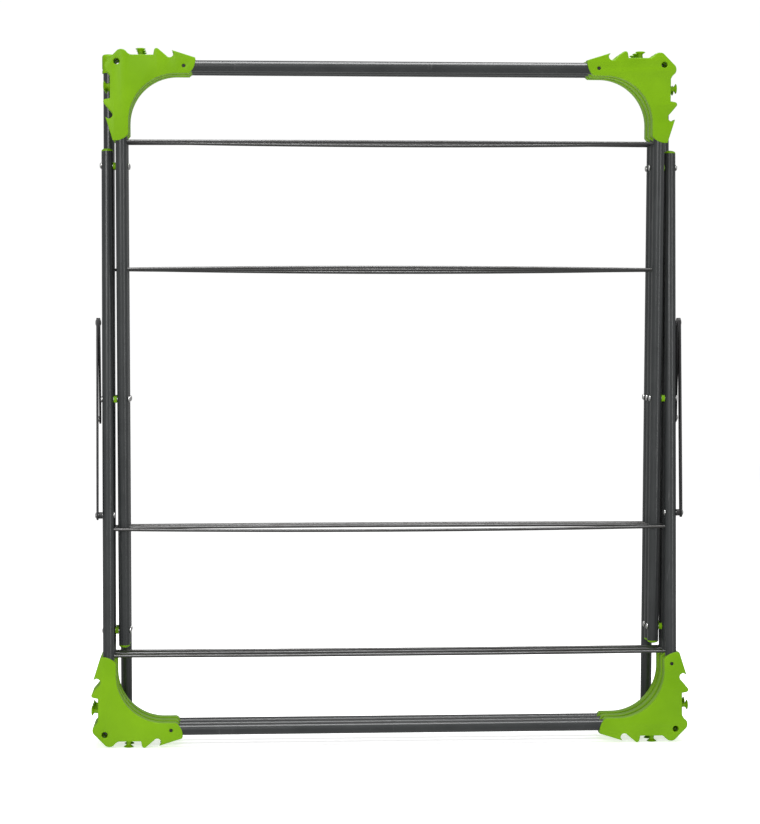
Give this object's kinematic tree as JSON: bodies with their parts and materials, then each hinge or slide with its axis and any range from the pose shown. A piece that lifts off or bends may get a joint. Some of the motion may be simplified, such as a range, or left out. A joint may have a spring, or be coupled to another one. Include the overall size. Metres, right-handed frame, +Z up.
{
  "type": "clothes drying rack",
  "caption": "Concertina clothes drying rack of crossed bent-tube frames with hanging rods and green notched corner covers, folded flat.",
  "frame": {"origin": "centre of the folded rack's footprint, at floor level", "axes": "+X to the right seen from the front, +Y to the back, +Z up"},
  "size_m": [1.008, 0.1276, 1.166],
  "materials": {
    "lacquered_tube": "semi-gloss dark grey lacquer",
    "green_plastic": "gloss moulded lime green",
    "steel_rod": "drawn grey steel",
    "zinc_fastener": "bright zinc",
    "black_stay": "near-black lacquer"
  },
  "bodies": {
    "front_bottom": {"front_bottom_frame": "lacquered_tube", "front_bottom_rods": "steel_rod", "front_bottom_plugs": "green_plastic", "front_bottom_screws": "zinc_fastener", "front_bottom_left_corner": "green_plastic", "front_bottom_right_corner": "green_plastic", "front_centre_rivets": "zinc_fastener", "front_centre_spacers": "green_plastic", "stay_front_bolts": "zinc_fastener", "stay_front_spacers": "black_stay"},
    "front_top": {"front_top_frame": "lacquered_tube", "front_top_rods": "steel_rod", "front_top_plugs": "green_plastic", "front_top_screws": "zinc_fastener", "front_top_left_corner": "green_plastic", "front_top_right_corner": "green_plastic"},
    "middle_top": {"middle_top_frame": "lacquered_tube", "middle_top_rods": "steel_rod", "middle_top_plugs": "green_plastic", "middle_top_screws": "zinc_fastener", "middle_top_left_corner": "green_plastic", "middle_top_right_corner": "green_plastic", "front_upper_rivets": "zinc_fastener", "front_upper_spacers": "green_plastic", "rear_lower_rivets": "zinc_fastener", "rear_lower_spacers": "green_plastic"},
    "rear_top": {"rear_top_frame": "lacquered_tube", "rear_top_rods": "steel_rod", "rear_top_caps": "green_plastic", "rear_top_screws": "zinc_fastener", "rear_top_left_corner": "green_plastic", "rear_top_right_corner": "green_plastic"},
    "middle_bottom": {"middle_bottom_frame": "lacquered_tube", "middle_bottom_rods": "steel_rod", "middle_bottom_plugs": "green_plastic", "middle_bottom_screws": "zinc_fastener", "middle_bottom_left_corner": "green_plastic", "middle_bottom_right_corner": "green_plastic", "front_lower_rivets": "zinc_fastener", "front_lower_spacers": "green_plastic", "rear_upper_rivets": "zinc_fastener", "rear_upper_spacers": "green_plastic", "middle_centre_rivets": "zinc_fastener", "middle_centre_spacers": "green_plastic"},
    "rear_bottom": {"rear_bottom_frame": "lacquered_tube", "rear_bottom_rods": "steel_rod", "rear_bottom_caps": "green_plastic", "rear_bottom_screws": "zinc_fastener", "rear_bottom_left_corner": "green_plastic", "rear_bottom_right_corner": "green_plastic", "rear_centre_rivets": "zinc_fastener", "rear_centre_spacers": "green_plastic"},
    "long_stays": {"left_long_stay": "black_stay", "right_long_stay": "black_stay", "stay_knee_rivets": "zinc_fastener"},
    "short_stays": {"left_short_stay": "black_stay", "right_short_stay": "black_stay", "stay_middle_rivets": "zinc_fastener"}
  },
  "joints": [
    {"name": "fold", "type": "hinge", "parent": "front_bottom", "child": "middle_top", "pos_m": [0, -0.015, 0.97372], "axis": [1, 0, 0], "range_deg": [0, 54.83]},
    {"name": "front_centre_pivot", "type": "hinge", "parent": "front_bottom", "child": "front_top", "pos_m": [0, -0.03, 0.58301], "axis": [1, 0, 0], "range_deg": [0, 54.84]},
    {"name": "middle_centre_pivot", "type": "hinge", "parent": "middle_top", "child": "middle_bottom", "pos_m": [0, 0, 0.58301], "axis": [1, 0, 0], "range_deg": [-54.84, 0]},
    {"name": "rear_lower_pivot", "type": "hinge", "parent": "middle_top", "child": "rear_bottom", "pos_m": [0, 0.015, 0.1923], "axis": [1, 0, 0], "range_deg": [-54.84, 0]},
    {"name": "rear_upper_pivot", "type": "hinge", "parent": "middle_bottom", "child": "rear_top", "pos_m": [0, 0.015, 0.97372], "axis": [1, 0, 0], "range_deg": [0, 54.84]},
    {"name": "stay_front_pin", "type": "hinge", "parent": "front_bottom", "child": "long_stays", "pos_m": [0, -0.03744, 0.38915], "axis": [1, 0, 0], "range_deg": [-40.91, 0]},
    {"name": "stay_knee", "type": "hinge", "parent": "long_stays", "child": "short_stays", "pos_m": [0, -0.01556, 0.71141], "axis": [1, 0, 0], "range_deg": [0, 167.63]}
  ],
  "couplings": [
    {"joint": "front_centre_pivot", "follows": "fold", "ratio": 1},
    {"joint": "middle_centre_pivot", "follows": "fold", "ratio": -1},
    {"joint": "rear_lower_pivot", "follows": "fold", "ratio": -1},
    {"joint": "rear_upper_pivot", "follows": "fold", "ratio": 1},
    {"joint": "stay_front_pin", "follows": "fold", "ratio": -0.74592},
    {"joint": "stay_knee", "follows": "fold", "ratio": 3.0572}
  ]
}
